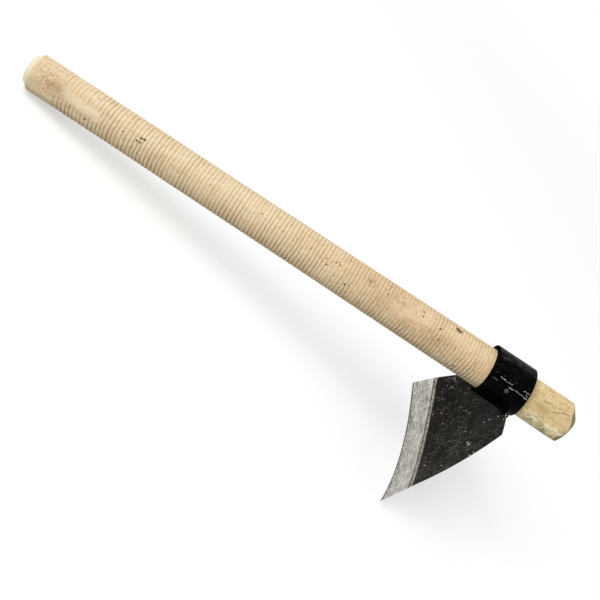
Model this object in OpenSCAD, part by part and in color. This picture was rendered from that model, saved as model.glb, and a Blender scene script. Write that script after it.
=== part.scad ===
// Short-handled garden hoe with a dished steel blade welded under a pipe eye.
// Millimetres. The handle lies along +X towards the head, the blade hangs below it,
// and the origin is on the handle's axis in the middle of the plain grip at the butt.

/* [Handle] */
// Distance from the middle of the grip to the middle of the eye
eye_x = 422; // [300:1:700]
// Radius of the plain grip at the butt
grip_r = 15.5; // [13:0.1:17]
// Length of the plain grip
grip_len = 24; // [16:1:40]
// Length of the chamfer round the butt
butt_chamfer_len = 5; // [2:0.5:8]
// Depth of the chamfer round the butt
butt_chamfer_depth = 4; // [1:0.5:6]
// How far the butt's end face swells out
butt_swell = 1; // [0.5:0.1:3]

/* [Turned grooves] */
// Pitch of the grooves beside the grip
pitch_at_grip = 3.5; // [2.5:0.1:6]
// Pitch of the grooves beside the eye
pitch_at_eye = 2.9; // [2.5:0.1:6]
// Depth of a groove
groove_depth = 0.25; // [0.1:0.05:0.5]
// Share of the pitch that a groove takes
groove_share = 0.5; // [0.2:0.05:0.8]
// Plain wood left between the last groove and the eye
plain_before_eye = 1.5; // [0.5:0.5:10]

/* [Hewn end of the handle] */
// Length of the end that shows past the eye
stub_len = 45.5; // [25:0.5:80]
// Radius of the swelling before it is hewn
stub_r = 18.4; // [17:0.1:20]
// Angle at which the swelling leans off the handle's axis
stub_lean = 3.7; // [0:0.1:6]
// Direction of that lean, from +Y towards +Z
stub_lean_dir = 238; // [0:1:360]
// Depth of the long chamfer round the end
stub_chamfer_depth = 6; // [1:0.5:8]
// Length of the chamfer round the end
stub_chamfer_len = 8; // [2:0.5:14]

/* [Eye] */
// Outer radius of the pipe that the eye is cut from
eye_outer_r = 21.2; // [19:0.1:26]
// Wall of the pipe
eye_wall = 4; // [2.5:0.1:5]
// Length of the eye
eye_len = 35.5; // [25:0.5:50]
// Chamfer on the outer rims of the eye
eye_chamfer = 0.6; // [0.2:0.1:1.5]

/* [Retaining nail] */
// Radius of the nail's shank
nail_r = 1.1; // [0.8:0.1:1.6]
// Length of the nail under its head
nail_len = 22; // [14:1:30]
// Radius of the nail's head
nail_head_r = 2.1; // [1.7:0.1:3]
// Height of the nail's domed head
nail_head_h = 0.9; // [0.6:0.1:1.5]
// Length of the nail's point
nail_point_len = 4; // [2:0.5:6]
// Direction of the nail, from +Y towards +Z
nail_dir = 165; // [150:1:210]
// Clearance round the nail in the eye
nail_clearance = 0.1; // [0.05:0.05:0.3]

/* [Blade] */
// Angle between the blade and the handle
blade_angle = 67; // [60:1:85]
// Place of the blade under the eye, from the eye's middle towards the head
blade_seat = 12.5; // [8:0.5:13]
// Thickness of the plate
plate_t = 3; // [2:0.1:4]
// Length from the eye down to the corners of the cutting edge
blade_drop = 94; // [80:1:120]
// Height of the shoulders above the underside of the eye
blade_rise = 7.5; // [4:0.5:12]
// Width over the shoulders
shoulder_w = 95; // [70:1:110]
// Width over the corners of the cutting edge
edge_w = 164; // [130:1:190]
// How far the cutting edge swells past its corners
edge_swell = 3.3; // [1:0.1:8]
// How far each side edge swells past a straight line
side_swell = 3; // [1:0.1:6]
// Depth of the hollow across the whole width
hollow_across = 12; // [5:0.5:16]
// Depth of the hollow along the whole length
hollow_along = 3; // [1:0.1:4]

/* [Bevel and edge steel] */
// Width of the ground bevel on the centre line
bevel_w = 25.5; // [15:0.5:35]
// How much wider the bevel is at the corners
bevel_flare = 3.5; // [1:0.5:7]
// Thickness left at the cutting edge
edge_land = 0.6; // [0.4:0.1:1.2]
// Width of softer iron that the bevel bares above the edge steel
iron_show = 4.8; // [1:0.1:8]

/* [Welds] */
// Radius of the weld bead on the inner face
inner_bead_r = 3; // [2:0.1:4]
// Radius of the weld bead on the outer face
outer_bead_r = 2.4; // [1.8:0.1:3.5]
// Share of the radius by which a bead's ripples swell
ripple = 0.12; // [0:0.01:0.25]
// Number of ripples along a bead
ripple_count = 9; // [5:1:15]

/* [Hidden] */

// A margin by which cutters run past what they cut
over = 5;

// Handle
eye_r = eye_outer_r - eye_wall;
eye_back = eye_x - eye_len / 2;
eye_front = eye_x + eye_len / 2;
grooves_start = grip_len / 2;
dome_steps = 4;
grooves_end = eye_back - plain_before_eye;
groove_count = round(2 * (grooves_end - grooves_start) / (pitch_at_grip + pitch_at_eye));
// Core by which the turned part runs into the hewn end
stub_core = 12;
// Hewn flats on the swelling: direction from +Y towards +Z, then depth of the cut
stub_flats = [[156, 2.6], [58, 3], [338, 3.4], [282, 1], [215, 0.8]];

// Blade, in its own frame: +Z up the plate, +X out of its outer face, +Y across it
corner_y = edge_w / 2;
shoulder_y = shoulder_w / 2;
plate_len = blade_drop + blade_rise;
plate_mid = (blade_rise - blade_drop) / 2;
across_r = arc_radius(edge_w, hollow_across);
along_r = arc_radius(plate_len, hollow_along);
edge_low = blade_drop + edge_swell;
bevel_top = edge_low - bevel_w;
bevel_fall = hollow_at(bevel_top) - hollow_at(edge_low) - plate_t + edge_land;
bevel_rate = (plate_t - edge_land) / bevel_w;
bevel_arch = bevel_flare + edge_swell;
bevel_r = 1 / (1 / across_r - 2 * bevel_arch * bevel_rate / pow(corner_y, 2));
// The flat joint between iron and steel slopes so that it runs along the arched bevel
scarf_top = bevel_top + iron_show;
scarf_angle = atan(bevel_arch / hollow_across);
section_steps = 16;
fine = 720;
round_fn = 96;
nail_fn = 32;

// Welds: the beads reach up to the shoulders on both sides of the eye
bead_half_angle = acos(1 - blade_rise * sin(blade_angle) / eye_outer_r)
                  - atan(inner_bead_r / eye_outer_r);
// Share of its radius by which a bead's middle stands out of the corner
bead_seat = 0.35;
// Share of the radius that is left at both ends of a bead
bead_end = 0.5;
bead_steps = 28;
bead_sides = 8;

// Radius of the arc that has this chord and this rise
function arc_radius(chord, rise) = (chord * chord / 4 + rise * rise) / (2 * rise);

// Hollow of the plate along its length, at a distance below the eye's underside
function hollow_at(drop) =
    sqrt(pow(along_r, 2) - pow(drop + plate_mid, 2)) - along_r + hollow_along;

// Radius of the handle's taper at a place along it
function taper_r(x) =
    grip_r + (eye_r - grip_r) * (x - grooves_start) / (eye_back - grooves_start);

// Place of a groove, with a pitch that changes evenly along the handle
function groove_x(i) =
    let (share = i / groove_count)
    grooves_start + (grooves_end - grooves_start) * share
    * (pitch_at_grip + (pitch_at_eye - pitch_at_grip) * share / 2)
    / (pitch_at_grip + (pitch_at_eye - pitch_at_grip) / 2);

// Centre of the circle that swells out from a straight line between two points
function swell_centre(from, to, rise) =
    let (run = to - from, radius = arc_radius(norm(run), rise), out = [-run.y, run.x] / norm(run))
    (from + to) / 2 - out * (radius - rise);

module along_x() {
    rotate([0, 90, 0]) children();
}

module towards(direction) {
    rotate([direction, 0, 0]) children();
}

// Half a turn, which puts a round's seam on the side that no piece uses
module seam_behind() {
    rotate([0, 0, 180]) children();
}

// Outline of the turned part from the butt to inside the hewn end, as radius and place
module handle_half() {
    butt_face = -grip_len / 2 - butt_chamfer_len;
    face_r = grip_r - butt_chamfer_depth;
    dome_r = arc_radius(2 * face_r, butt_swell);
    polygon(concat(
        [for (step = [0 : dome_steps])
            let (r = face_r * step / dome_steps)
            [r, butt_face - butt_swell + dome_r - sqrt(pow(dome_r, 2) - r * r)]],
        [[grip_r, -grip_len / 2], [grip_r, grooves_start]],
        [for (i = [0 : groove_count - 1])
            let (start = groove_x(i), step = groove_x(i + 1) - start)
            each [[taper_r(start), start],
                  [taper_r(start) - groove_depth, start + step * groove_share / 2],
                  [taper_r(start), start + step * groove_share]]],
        [[eye_r, eye_back], [eye_r, eye_front], [stub_core, eye_front], [stub_core, eye_front + over],
         [0, eye_front + over]]));
}

// Swelling that keeps the eye from sliding off, before it is hewn
module leaning_round() {
    towards(stub_lean_dir) rotate([0, 0, stub_lean]) along_x() rotate_extrude($fn = round_fn)
        polygon([[0, -over], [stub_r, -over], [stub_r, stub_len - stub_chamfer_len],
                 [stub_r - stub_chamfer_depth * (1 + over / stub_chamfer_len), stub_len + over],
                 [0, stub_len + over]]);
}

// Block whose face stands square to a direction, at this distance from the axis
module up_to_flat(direction, distance) {
    size = 3 * stub_len;
    towards(direction) translate([-size / 2, distance - size, -size / 2]) cube(size);
}

module hewn_end() {
    translate([eye_front, 0, 0])
    intersection() {
        leaning_round();
        translate([0, -stub_len, -stub_len]) cube([stub_len, 2 * stub_len, 2 * stub_len]);
        intersection_for(flat = stub_flats) up_to_flat(flat[0], stub_r - flat[1]);
    }
}

// Shank and point of the nail, along +Z up to the outside of the eye
module nail_shank(shank_r) {
    translate([0, 0, eye_outer_r - nail_len]) {
        cylinder(h = nail_point_len, r1 = shank_r / 5, r2 = shank_r, $fn = nail_fn);
        translate([0, 0, nail_point_len])
            cylinder(h = nail_len - nail_point_len, r = shank_r, $fn = nail_fn);
    }
}

module at_nail() {
    translate([eye_x, 0, 0]) towards(nail_dir) rotate([-90, 0, 0]) children();
}

module handle() {
    color("burlywood")
    difference() {
        union() {
            along_x() rotate_extrude($fn = round_fn) handle_half();
            hewn_end();
        }
        at_nail() nail_shank(nail_r);
    }
}

module eye_ring() {
    color([0.06, 0.06, 0.06])
    difference() {
        translate([eye_back, 0, 0]) along_x() rotate_extrude($fn = round_fn)
            polygon([[eye_r, 0], [eye_outer_r - eye_chamfer, 0], [eye_outer_r, eye_chamfer],
                     [eye_outer_r, eye_len - eye_chamfer], [eye_outer_r - eye_chamfer, eye_len],
                     [eye_r, eye_len]]);
        at_nail() cylinder(h = eye_outer_r + over, r = nail_r + nail_clearance, $fn = nail_fn);
    }
}

// Domed head, seated on the eye
module nail_head() {
    dome = nail_head_h / 2;
    dome_r = arc_radius(2 * nail_head_r, dome);
    translate([0, 0, eye_outer_r]) intersection() {
        cylinder(h = nail_head_h, r = nail_head_r, $fn = nail_fn);
        translate([0, 0, nail_head_h - dome_r]) sphere(r = dome_r, $fn = round_fn);
    }
}

module retaining_nail() {
    color("dimgray") at_nail() {
        nail_shank(nail_r);
        nail_head();
    }
}

module in_blade_frame() {
    translate([eye_x + blade_seat, 0, -eye_outer_r]) rotate([0, 90 - blade_angle, 0]) children();
}

// Outline seen square to the plate: bowed sides, straight top and swelling cutting edge
module blade_outline() {
    side_r = arc_radius(norm([corner_y - shoulder_y, plate_len]), side_swell);
    side_centre = swell_centre([shoulder_y, blade_rise], [corner_y, -blade_drop], side_swell);
    edge_r = arc_radius(edge_w, edge_swell);
    intersection() {
        translate([-edge_w, -edge_low - over]) square([2 * edge_w, edge_low + over + blade_rise]);
        translate([0, edge_r - edge_low]) circle(r = edge_r, $fn = fine);
        intersection_for(side = [-1, 1])
            translate([side * side_centre.x, side_centre.y]) circle(r = side_r, $fn = fine);
    }
}

// Plate turned from its own long section, so that it is hollow both ways
module hollow_plate() {
    drops = [for (i = [0 : section_steps])
        -blade_rise - over + (edge_low + blade_rise + 2 * over) * i / section_steps];
    translate([-across_r, 0, 0]) seam_behind() rotate_extrude($fn = fine)
        polygon(concat(
            [for (drop = drops) [across_r + hollow_at(drop), -drop]],
            [for (i = [section_steps : -1 : 0])
                [across_r + hollow_at(drops[i]) + plate_t, -drops[i]]]));
}

// Cone that grinds the bevel, flatter across than the plate, so the bevel flares
module bevel_cutter() {
    reach = 2 * bevel_w;
    rate = bevel_fall / bevel_w;
    translate([hollow_at(bevel_top) - bevel_r, 0, -bevel_top - reach]) seam_behind()
        cylinder(h = 2 * reach, r1 = bevel_r - rate * reach, r2 = bevel_r + rate * reach,
                 $fn = fine);
}

// Plate cut to its outline and ground, still without the notch for the eye
module ground_plate() {
    in_blade_frame() difference() {
        intersection() {
            hollow_plate();
            translate([-2 * hollow_across, 0, 0]) rotate([90, 0, 90])
                linear_extrude(height = 4 * hollow_across) blade_outline();
        }
        bevel_cutter();
    }
}

// Outside of the pipe, run past both of its ends by a margin
module eye_outside(margin) {
    translate([eye_back - margin, 0, 0]) along_x() seam_behind()
        cylinder(h = eye_len + 2 * margin, r = eye_outer_r, $fn = round_fn);
}

// Blade before it is split into iron and steel, notched to sit round the eye
module blade_blank() {
    difference() {
        ground_plate();
        eye_outside(eye_len);
    }
}

// Block above the sloping joint between the iron body and the edge steel
module above_scarf() {
    size = 2 * edge_w;
    in_blade_frame() translate([0, 0, -scarf_top]) rotate([0, scarf_angle, 0])
        translate([-size / 2, -size / 2, 0]) cube(size);
}

module blade_body() {
    color([0.13, 0.12, 0.11])
    intersection() {
        blade_blank();
        above_scarf();
    }
}

module edge_steel() {
    color([0.7, 0.69, 0.67])
    difference() {
        blade_blank();
        above_scarf();
    }
}

// Centre, radius and outward direction of a bead at one of its steps round the eye
function bead_station(step, face, bead_r) =
    let (share = 2 * step / bead_steps - 1,
         angle = bead_half_angle * share,
         out = [0, sin(angle), -cos(angle)],
         point = [seam_x(angle, face), eye_outer_r * out.y, eye_outer_r * out.z],
         side = face == 0 ? -1 : 1,
         away = side * [sin(blade_angle), 0, -cos(blade_angle)],
         full_r = bead_r * (1 + ripple * sin(ripple_count * 180 * abs(share))),
         r = full_r * (abs(share) == 1 ? bead_end : 1))
    [point + bead_seat * bead_r * (out + away), r, out];

// Place along X where a face of the plate meets the eye, at an angle round it from straight down
function seam_x(angle, face) =
    let (y = eye_outer_r * sin(angle),
         up = eye_outer_r * (1 - cos(angle)),
         hollow = sqrt(pow(across_r + hollow_at(-up) + face, 2) - y * y) - across_r)
    eye_x + blade_seat + (hollow + up * cos(blade_angle)) / sin(blade_angle);

// Bead laid in the corner between the eye and one face of the plate
module bead(face, bead_r) {
    stations = [for (i = [0 : bead_steps]) bead_station(i, face, bead_r)];
    points = [for (s = stations) for (k = [0 : bead_sides - 1])
        let (turn = 360 * k / bead_sides)
        s[0] + s[1] * (cos(turn) * s[2] + sin(turn) * [1, 0, 0])];
    sides = [for (i = [0 : bead_steps - 1]) for (k = [0 : bead_sides - 1])
        let (a = i * bead_sides + k, b = i * bead_sides + (k + 1) % bead_sides)
        [a, b, b + bead_sides, a + bead_sides]];
    ends = [[for (k = [bead_sides - 1 : -1 : 0]) k],
            [for (k = [0 : bead_sides - 1]) bead_steps * bead_sides + k]];
    difference() {
        polyhedron(points, concat(sides, ends));
        ground_plate();
        eye_outside(0);
    }
}

module weld_bead_inner() {
    color([0.1, 0.1, 0.1]) bead(0, inner_bead_r);
}

module weld_bead_outer() {
    color([0.1, 0.1, 0.1]) bead(plate_t, outer_bead_r);
}

handle();
eye_ring();
retaining_nail();
blade_body();
edge_steel();
weld_bead_inner();
weld_bead_outer();
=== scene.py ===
import random
from math import acos, atan, atan2, cos, degrees, exp, hypot, pi, radians, sin, sqrt, tan, tau
import bmesh
import bpy
from mathutils import Euler, Matrix, Vector, noise


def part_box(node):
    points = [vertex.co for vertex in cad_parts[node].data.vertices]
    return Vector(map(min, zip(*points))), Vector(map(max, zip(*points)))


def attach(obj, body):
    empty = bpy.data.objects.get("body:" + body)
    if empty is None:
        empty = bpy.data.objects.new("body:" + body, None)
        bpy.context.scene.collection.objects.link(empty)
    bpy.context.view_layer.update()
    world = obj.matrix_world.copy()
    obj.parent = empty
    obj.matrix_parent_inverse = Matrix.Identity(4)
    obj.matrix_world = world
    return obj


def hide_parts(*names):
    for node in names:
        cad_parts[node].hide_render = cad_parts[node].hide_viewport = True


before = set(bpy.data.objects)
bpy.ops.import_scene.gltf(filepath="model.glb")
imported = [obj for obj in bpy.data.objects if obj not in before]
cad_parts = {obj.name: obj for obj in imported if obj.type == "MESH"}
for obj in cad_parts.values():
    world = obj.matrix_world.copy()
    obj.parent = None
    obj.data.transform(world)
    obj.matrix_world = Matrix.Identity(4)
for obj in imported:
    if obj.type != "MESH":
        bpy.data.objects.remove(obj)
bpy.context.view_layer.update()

# Short garden hoe: turned handle along +X, pipe eye, dished blade under the eye.
# Sizes in the dictionaries are millimetres and degrees. A direction round the handle
# is measured about X, from +Y towards +Z.
mm = 0.001
random.seed(11)
eyeLow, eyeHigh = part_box("eye_ring")
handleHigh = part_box("handle")[1]
eyeMiddle = (eyeLow.x + eyeHigh.x) / 2
eyeRadius = eyeHigh.z
print("frame loaded:", sorted(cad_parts))


def smooth(value, low, high):
    share = min(max((value - low) / (high - low), 0), 1)
    return share * share * (3 - 2 * share)


def blend(first, second, share):
    return first + (second - first) * share


def around(x, radius, direction):
    # point at a distance from the handle's axis
    turn = radians(direction)
    return Vector((x, radius * cos(turn), radius * sin(turn)))


def polar(place):
    # distance from the handle's axis, and direction round it
    return hypot(place.y, place.z), degrees(atan2(place.z, place.y))


def leaning(angle, direction):
    # the handle's axis, leant by this angle towards a direction
    return Vector((cos(radians(angle)), 0, 0)) + around(0, sin(radians(angle)), direction)


def ripple(place, size, octaves=3):
    # smooth noise from about -1 to 1, with waves of this size
    return noise.fractal(Vector(place) / size, 1, 2, octaves)


def newObject(name, data):
    item = bpy.data.objects.new(name, data)
    bpy.context.scene.collection.objects.link(item)
    return item


# Camera, matched to the photograph's 600 x 600 frame
cameraView = {"place": (215.39, -586.10, 342.25), "turn": (51.283, -28.880, 17.489), "lens": 52.083}
camera = newObject("camera", bpy.data.cameras.new("camera"))
camera.data.lens = cameraView["lens"]
camera.data.sensor_width = 36
camera.data.clip_start = 0.01
camera.location = Vector(cameraView["place"]) * mm
camera.rotation_euler = Euler([radians(angle) for angle in cameraView["turn"]])
bpy.context.scene.camera = camera
bpy.context.scene.view_settings.view_transform = "Standard"
print("camera set")


# Node helpers, which find their node tree by the sockets that they are given
def feed(socket, value):
    # links what comes out of a node, or sets a constant
    if isinstance(value, bpy.types.NodeSocket):
        socket.id_data.links.new(value, socket)
    else:
        socket.default_value = value


def addNode(tree, kind, inputs=None, **options):
    node = tree.nodes.new("ShaderNode" + kind)
    for name, value in options.items():
        setattr(node, name, value)
    for name, value in (inputs or {}).items():
        feed(node.inputs[name], value)
    return node


def calc(operation, *values):
    tree = next(value.id_data for value in values if isinstance(value, bpy.types.NodeSocket))
    return addNode(tree, "Math", dict(enumerate(values)), operation=operation).outputs[0]


def times(first, second):
    return calc("MULTIPLY", first, second)


def scaled(value, factor, added):
    return calc("MULTIPLY_ADD", value, factor, added)


def centred(value):
    # noise about 0 instead of about 0.5
    return calc("SUBTRACT", value, 0.5)


def vectorCalc(operation, *values):
    return addNode(values[0].id_data, "VectorMath", dict(enumerate(values)), operation=operation).outputs


def ramp(value, low, high, start=0, end=1):
    inputs = {"Value": value, "From Min": low, "From Max": high, "To Min": start, "To Max": end}
    return addNode(value.id_data, "MapRange", inputs, interpolation_type="SMOOTHSTEP").outputs["Result"]


def mixColours(share, first, second):
    return addNode(share.id_data, "Mix", {0: share, 6: first, 7: second}, data_type="RGBA").outputs[2]


def stretch(vector, scale, place=(0, 0, 0)):
    inputs = {"Vector": vector, "Scale": scale, "Location": place}
    return addNode(vector.id_data, "Mapping", inputs).outputs[0]


def grainNoise(vector, scale, detail, roughness=0.55):
    inputs = {"Vector": vector, "Scale": scale, "Detail": detail, "Roughness": roughness}
    return addNode(vector.id_data, "TexNoise", inputs).outputs["Fac"]


def painted(tree, name):
    # value that the mesh carries at each vertex
    return addNode(tree, "Attribute", attribute_name=name).outputs["Fac"]


def seenDirectly(tree):
    # 1 for what the camera sees, also in a reflection or through something clear
    light = addNode(tree, "LightPath").outputs
    indirect = calc("MAXIMUM", light["Is Glossy Ray"], light["Is Transmission Ray"])
    return calc("MAXIMUM", light["Is Camera Ray"], indirect)


def tone(tones, colour):
    # a tone by its name, given from 0 to 255 as on a screen, or else what comes out of a node
    if not isinstance(colour, str):
        return colour
    parts = [channel / 255 for channel in tones[colour]]
    return [part / 12.92 if part < 0.04045 else ((part + 0.055) / 1.055) ** 2.4 for part in parts] + [1]


def layered(tones, base, *layers):
    # colours laid over the base in turn, each with its mask and perhaps a strength
    result = tone(tones, base)
    for colour, mask, *strength in layers:
        share = times(mask, *strength) if strength else mask
        result = mixColours(share, result, tone(tones, colour))
    return result


def newGroup(name, **inputs):
    # group that makes a mask. An input without a value is a vector
    group = bpy.data.node_groups.new(name, "ShaderNodeTree")
    for label, value in {"Vector": None, **inputs}.items():
        kind = "NodeSocketVector" if value is None else "NodeSocketFloat"
        socket = group.interface.new_socket(label, in_out="INPUT", socket_type=kind)
        if value is not None:
            socket.default_value = value
    group.interface.new_socket("Mask", in_out="OUTPUT", socket_type="NodeSocketFloat")
    given = group.nodes.new("NodeGroupInput").outputs
    return group, given, group.nodes.new("NodeGroupOutput").inputs["Mask"]


def useGroup(group, vector, **inputs):
    return addNode(vector.id_data, "Group", {"Vector": vector, **inputs}, node_tree=group).outputs[0]


def newMaterial(name, **settings):
    material = bpy.data.materials.new(name)
    material.use_nodes = True
    tree = material.node_tree
    shader = tree.nodes["Principled BSDF"]
    for label, value in settings.items():
        shader.inputs[label.replace("_", " ")].default_value = value
    coords = addNode(tree, "TexCoord").outputs["Object"]
    return material, tree, shader, coords


def setLook(shader, colour, roughness, height, distance, strength):
    bump = addNode(shader.id_data, "Bump", {"Height": height, "Distance": distance, "Strength": strength})
    looks = {"Base Color": colour, "Roughness": roughness, "Normal": bump.outputs[0]}
    for label, value in looks.items():
        feed(shader.inputs[label], value)


# Shared effects: mottling in two scales, sparse specks, wear that eats in from an edge, and a round mark
mottle, given, mask = newGroup("mottle", Scale=60, Fine=6, Low=0.35, High=0.65)
broad = grainNoise(given["Vector"], given["Scale"], 3)
narrow = grainNoise(given["Vector"], times(given["Scale"], given["Fine"]), 5, 0.65)
feed(mask, ramp(scaled(centred(narrow), 0.7, broad), given["Low"], given["High"]))

specks, given, mask = newGroup("specks", Scale=400, Share=0.2, Size=0.3)
cells = addNode(specks, "TexVoronoi", {"Vector": given["Vector"], "Scale": given["Scale"]}).outputs
pick = addNode(specks, "SeparateColor", {"Color": cells["Color"]}).outputs
chosen = calc("LESS_THAN", pick[0], given["Share"])
reach = times(given["Size"], scaled(pick[1], 0.8, 0.4))
feed(mask, times(chosen, ramp(calc("DIVIDE", cells["Distance"], reach), 1, 0.5)))

edgeWear, given, mask = newGroup("edge wear", Distance=1, Reach=0.6, Scale=300)
ragged = centred(grainNoise(given["Vector"], given["Scale"], 4, 0.7))
eaten = scaled(times(ragged, given["Reach"]), 5, given["Distance"])
feed(mask, ramp(calc("DIVIDE", eaten, given["Reach"]), 1, 0.4))

pit, given, mask = newGroup("pit", Centre=None, Radius=0.001, Marks=0)
away = vectorCalc("DISTANCE", given["Vector"], given["Centre"])["Value"]
feed(mask, calc("MAXIMUM", ramp(calc("DIVIDE", away, given["Radius"]), 1, 0.35), given["Marks"]))
print("shared effects made")


def pits(vector, places):
    # round marks, each with its centre and its radius in metres
    marks = 0
    for centre, radius in places:
        marks = useGroup(pit, vector, Centre=centre, Radius=radius, Marks=marks)
    return marks


# Mesh helpers
def turnRound(bm, outline, steps):
    # outline of (place along the handle, radius), turned about the handle's axis
    verts = [bmesh.ops.create_vert(bm, co=(x, 0, r))["vert"][0] for x, r in outline]
    edges = [bm.edges.new(pair) for pair in zip(verts, verts[1:])]
    bmesh.ops.spin(bm, geom=verts + edges, cent=(0, 0, 0), axis=(1, 0, 0),
                   angle=tau, steps=steps, use_merge=True)
    bmesh.ops.remove_doubles(bm, verts=bm.verts, dist=1e-6)


def newLayers(bm, *names):
    # values that the vertices carry into the mesh
    return [bm.verts.layers.float.new(name) for name in names]


def everythingIn(bm):
    return bm.verts[:] + bm.edges[:] + bm.faces[:]


def cutAway(bm, place, outward):
    # takes off what lies outside a plane, and gives the edges of the cut
    made = bmesh.ops.bisect_plane(
        bm, geom=everythingIn(bm), plane_co=place, plane_no=outward, clear_outer=True)
    return [edge for edge in made["geom_cut"] if isinstance(edge, bmesh.types.BMEdge)]


def moveAll(bm, turn, shift=(0, 0, 0)):
    bmesh.ops.rotate(bm, verts=bm.verts, cent=(0, 0, 0), matrix=turn)
    bmesh.ops.translate(bm, verts=bm.verts, vec=shift)


def newMesh(bm, name):
    mesh = bpy.data.meshes.new(name)
    bm.to_mesh(mesh)
    bm.free()
    return mesh


def makePiece(bm, name, materials, slot, *nodes):
    # finished mesh as a smooth piece that stands for CAD nodes
    bmesh.ops.recalc_face_normals(bm, faces=bm.faces)
    for face in bm.faces:
        face.smooth = True
    mesh = newMesh(bm, name)
    for material in materials:
        mesh.materials.append(material)
    piece = newObject(name, mesh)
    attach(piece, "root")
    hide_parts(*nodes)
    print(name, "has", len(mesh.polygons), "faces")


def voxelMesh(bm, size):
    # the same solid in even quads, which can be carved
    rough = newObject("rough", newMesh(bm, "rough"))
    remesh = rough.modifiers.new("remesh", "REMESH")
    remesh.mode = "VOXEL"
    remesh.voxel_size = size
    evaluated = rough.evaluated_get(bpy.context.evaluated_depsgraph_get())
    even = bpy.data.meshes.new_from_object(evaluated)
    bm = bmesh.new()
    bm.from_mesh(even)
    for mesh in (rough.data, even):
        bpy.data.meshes.remove(mesh)
    return bm


def strokeMark(strokes, x, direction, radius, wide, narrow):
    # strength of the nearest stroke. Points are (place, direction) on a cylinder of this radius,
    # and the mark fades from full at the narrow distance to nothing at the wide one
    best = 0
    arc = pi / 180 * radius
    point = Vector((x, direction * arc))
    for strength, *stroke in strokes:
        for first, second in zip(stroke, stroke[1:]):
            a, b = Vector((first[0], first[1] * arc)), Vector((second[0], second[1] * arc))
            share = min(max((point - a).dot(b - a) / (b - a).length_squared, 0), 1)
            away = (point - a - (b - a) * share).length + 0.3 * wide * ripple((x, direction * arc, 0), 0.9, 2)
            best = max(best, strength * smooth(away, wide, narrow))
    return best


# Handle: one piece of wood, turned with fine ridges, hewn past the eye
handleShape = {
    "grip": 15.5, "eyeSeat": 17.2, "buttChamfer": 5, "buttDepth": 4, "buttDome": 1,
    "gripHalf": 12, "plainBeforeEye": 1.5, "turns": 96,
    "pitchAtGrip": 3.45, "pitchAtEye": 2.95, "pitchSpread": 0.045, "ridgeDepth": 0.4, "rows": 6,
    "knot": (12, 154),
}
stubShape = {
    "radius": 18.4, "lean": 3.7, "leanTowards": 238, "chamferDepth": 6, "chamferLength": 8,
    "flats": ((156, 2.6), (58, 3), (338, 3.4), (282, 1), (244, 0.7)), "voxel": 0.65, "toolMarks": 0.22,
    "endShift": 5, "endShiftTowards": 225, "endSlant": 12, "softening": 5,
    "insideEye": 8, "spareInside": 6, "sparePast": 4, "turns": 96,
}
# Places where the ridges fade: place along the handle, direction, half length, half width, how much
smoothPatches = (
    (-6, 120, 12, 30, 0.75), (12, 152, 10, 7, 0.9), (318, 150, 16, 7, 0.45), (330, 135, 20, 9, 0.4),
    (385, 125, 22, 7, 0.45), (150, 300, 30, 8, 0.5), (220, 20, 34, 10, 0.5),
)
# Pale swath where a branch was: how strong, then points of (place, direction)
swath = ((1, (17, 150), (22, 160), (28, 157), (34, 165), (41, 161), (47, 164)),)
# Cracks in the hewn end, as places from the eye's middle
hewnCracks = (
    (0.9, (41, 149.8), (45, 142.7), (49.1, 134.9), (54, 132.5)),
    (0.6, (31, 137.4), (36, 134), (41, 135.5), (40.9, 141)),
    (0.5, (43.7, 130), (48.7, 127), (52.7, 125)),
    (0.7, (39.3, 216), (45.1, 218), (52.6, 222), (56, 223), (57.1, 204)),
    (0.5, (47.7, 20), (53.7, 26), (58.7, 24)),
    (0.5, (39.7, 290), (47.7, 295), (55.7, 292)),
)
# Brownish stains: place along the handle, direction, half length, half width, strength
stains = (
    (290, 122, 8, 4, 0.7), (316, 120, 10, 4, 0.8), (305, 150, 10, 5, 0.5), (352, 160, 12, 6, 0.5),
    (330, 165, 14, 4, 0.4), (7, 158, 9, 7, 0.32), (104, 172, 9, 5, 0.3), (365, 150, 8, 5, 0.3),
    (180, 330, 16, 6, 0.6), (260, 20, 12, 6, 0.5), (0, 120, 16, 14, 0.35), (2, 168, 12, 8, 0.3),
)
handleLength = eyeLow.x / mm
seatEnd = (eyeMiddle / mm + eyeHigh.x / mm) / 2 - 4


def ridgePlaces():
    shape = handleShape
    start, end = shape["gripHalf"], handleLength - shape["plainBeforeEye"]
    places = [start]
    while places[-1] < end - shape["pitchAtEye"]:
        pitch = blend(shape["pitchAtGrip"], shape["pitchAtEye"], (places[-1] - start) / (end - start))
        places.append(places[-1] + pitch * (1 + random.uniform(-1, 1) * shape["pitchSpread"]))
    return places


def handleRadius(x):
    shape = handleShape
    share = (x - shape["gripHalf"]) / (handleLength - shape["gripHalf"])
    return blend(shape["grip"], shape["eyeSeat"], min(max(share, 0), 1))


def handleOutline():
    shape, half = handleShape, handleShape["gripHalf"]
    face = -half - shape["buttChamfer"]
    faceRadius = shape["grip"] - shape["buttDepth"]
    outline = [(face - shape["buttDome"] * (1 - (r / faceRadius) ** 2), r)
               for r in (0, faceRadius * 0.25, faceRadius * 0.5, faceRadius * 0.75, faceRadius)]
    outline += [(blend(face, -half, step / 4), blend(faceRadius, shape["grip"], step / 4))
                for step in (1, 2, 3)]
    outline += [(blend(-half, half, step / 18), shape["grip"]) for step in range(18)]
    places = ridgePlaces()
    for start, end in zip(places, places[1:]):
        depth = shape["ridgeDepth"] * random.uniform(0.75, 1.2)
        for row in range(shape["rows"]):
            x = blend(start, end, row / shape["rows"])
            groove = (0.5 + 0.5 * cos(tau * row / shape["rows"])) ** 2
            outline.append((x, handleRadius(x) - depth * groove))
    outline += [(blend(places[-1], seatEnd, step / 8), handleRadius(blend(places[-1], seatEnd, step / 8)))
                for step in range(1, 9)]
    return [(x * mm, r * mm) for x, r in outline]


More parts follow.
